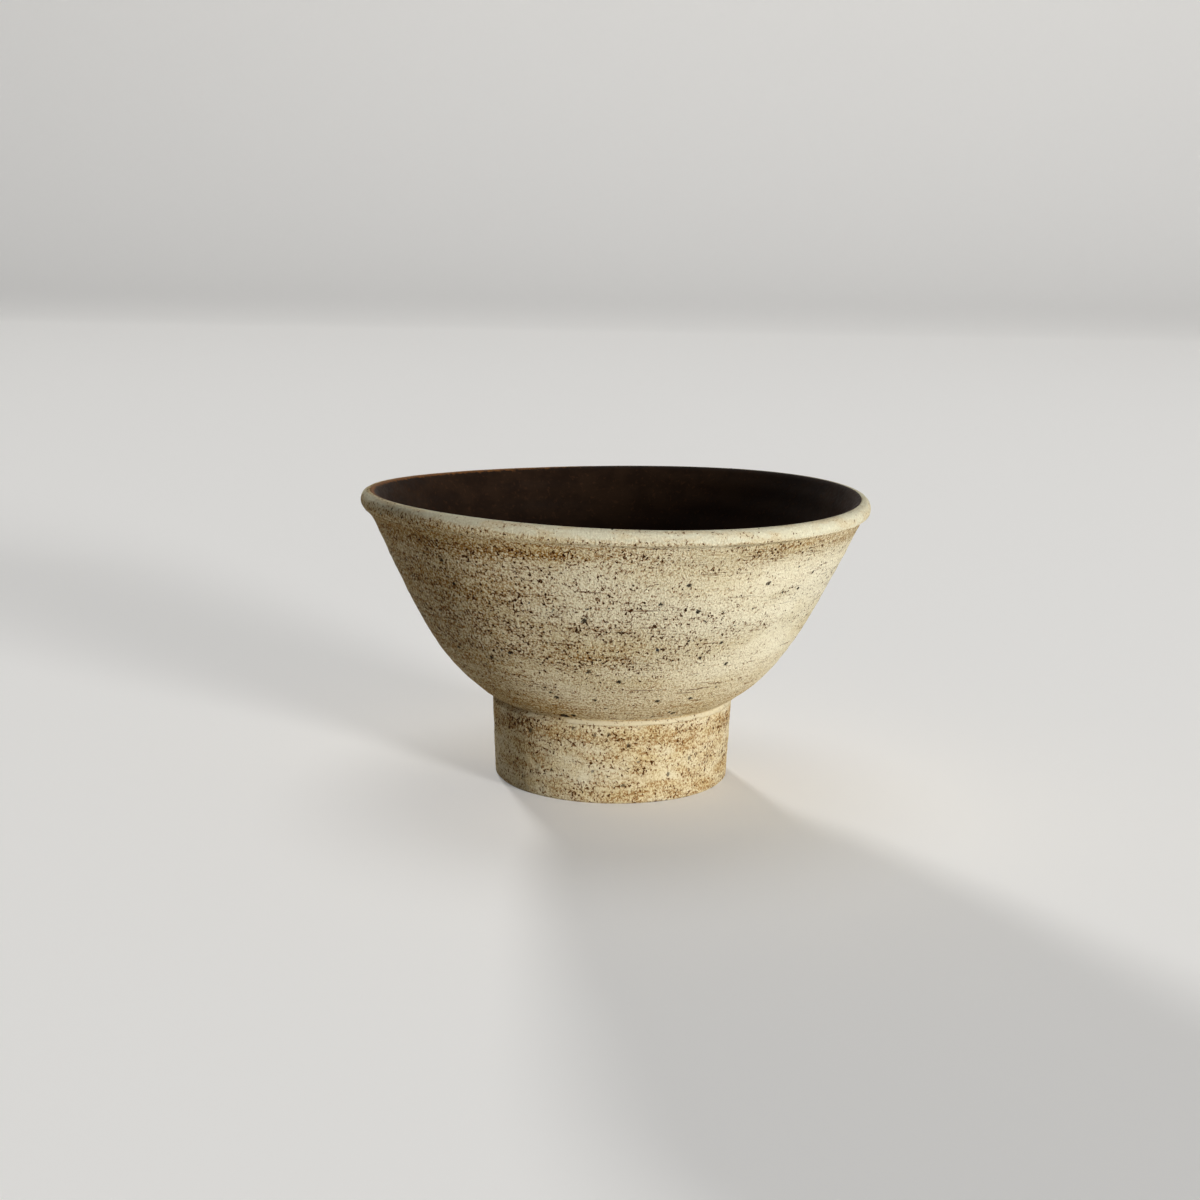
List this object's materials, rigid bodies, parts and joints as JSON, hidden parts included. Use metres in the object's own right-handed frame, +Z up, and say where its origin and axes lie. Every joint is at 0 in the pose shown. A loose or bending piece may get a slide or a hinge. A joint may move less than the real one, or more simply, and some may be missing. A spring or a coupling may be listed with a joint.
{
  "type": "pottery bowl",
  "caption": "Hand-thrown stoneware rice bowl: a flaring bare-clay wall with a rolled lip, a dark glazed inside and a tall separate foot ring to hold and stand it by.",
  "frame": {"origin": "centre of the ring that the foot stands on, at table height", "axes": "+Z up along the axis that the bowl was turned on, +X to the right and +Y away from the viewer in the picture"},
  "size_m": [0.125, 0.125, 0.0721],
  "materials": {
    "stoneware": "bare, coarse and speckled",
    "slip": "wiped smooth, matt",
    "glaze": "dark brown, satin"
  },
  "bodies": {
    "root": {"bowl_body": "stoneware", "foot_ring": "stoneware", "luting_slip": "slip", "inner_glaze": "glaze"}
  },
  "joints": []
}
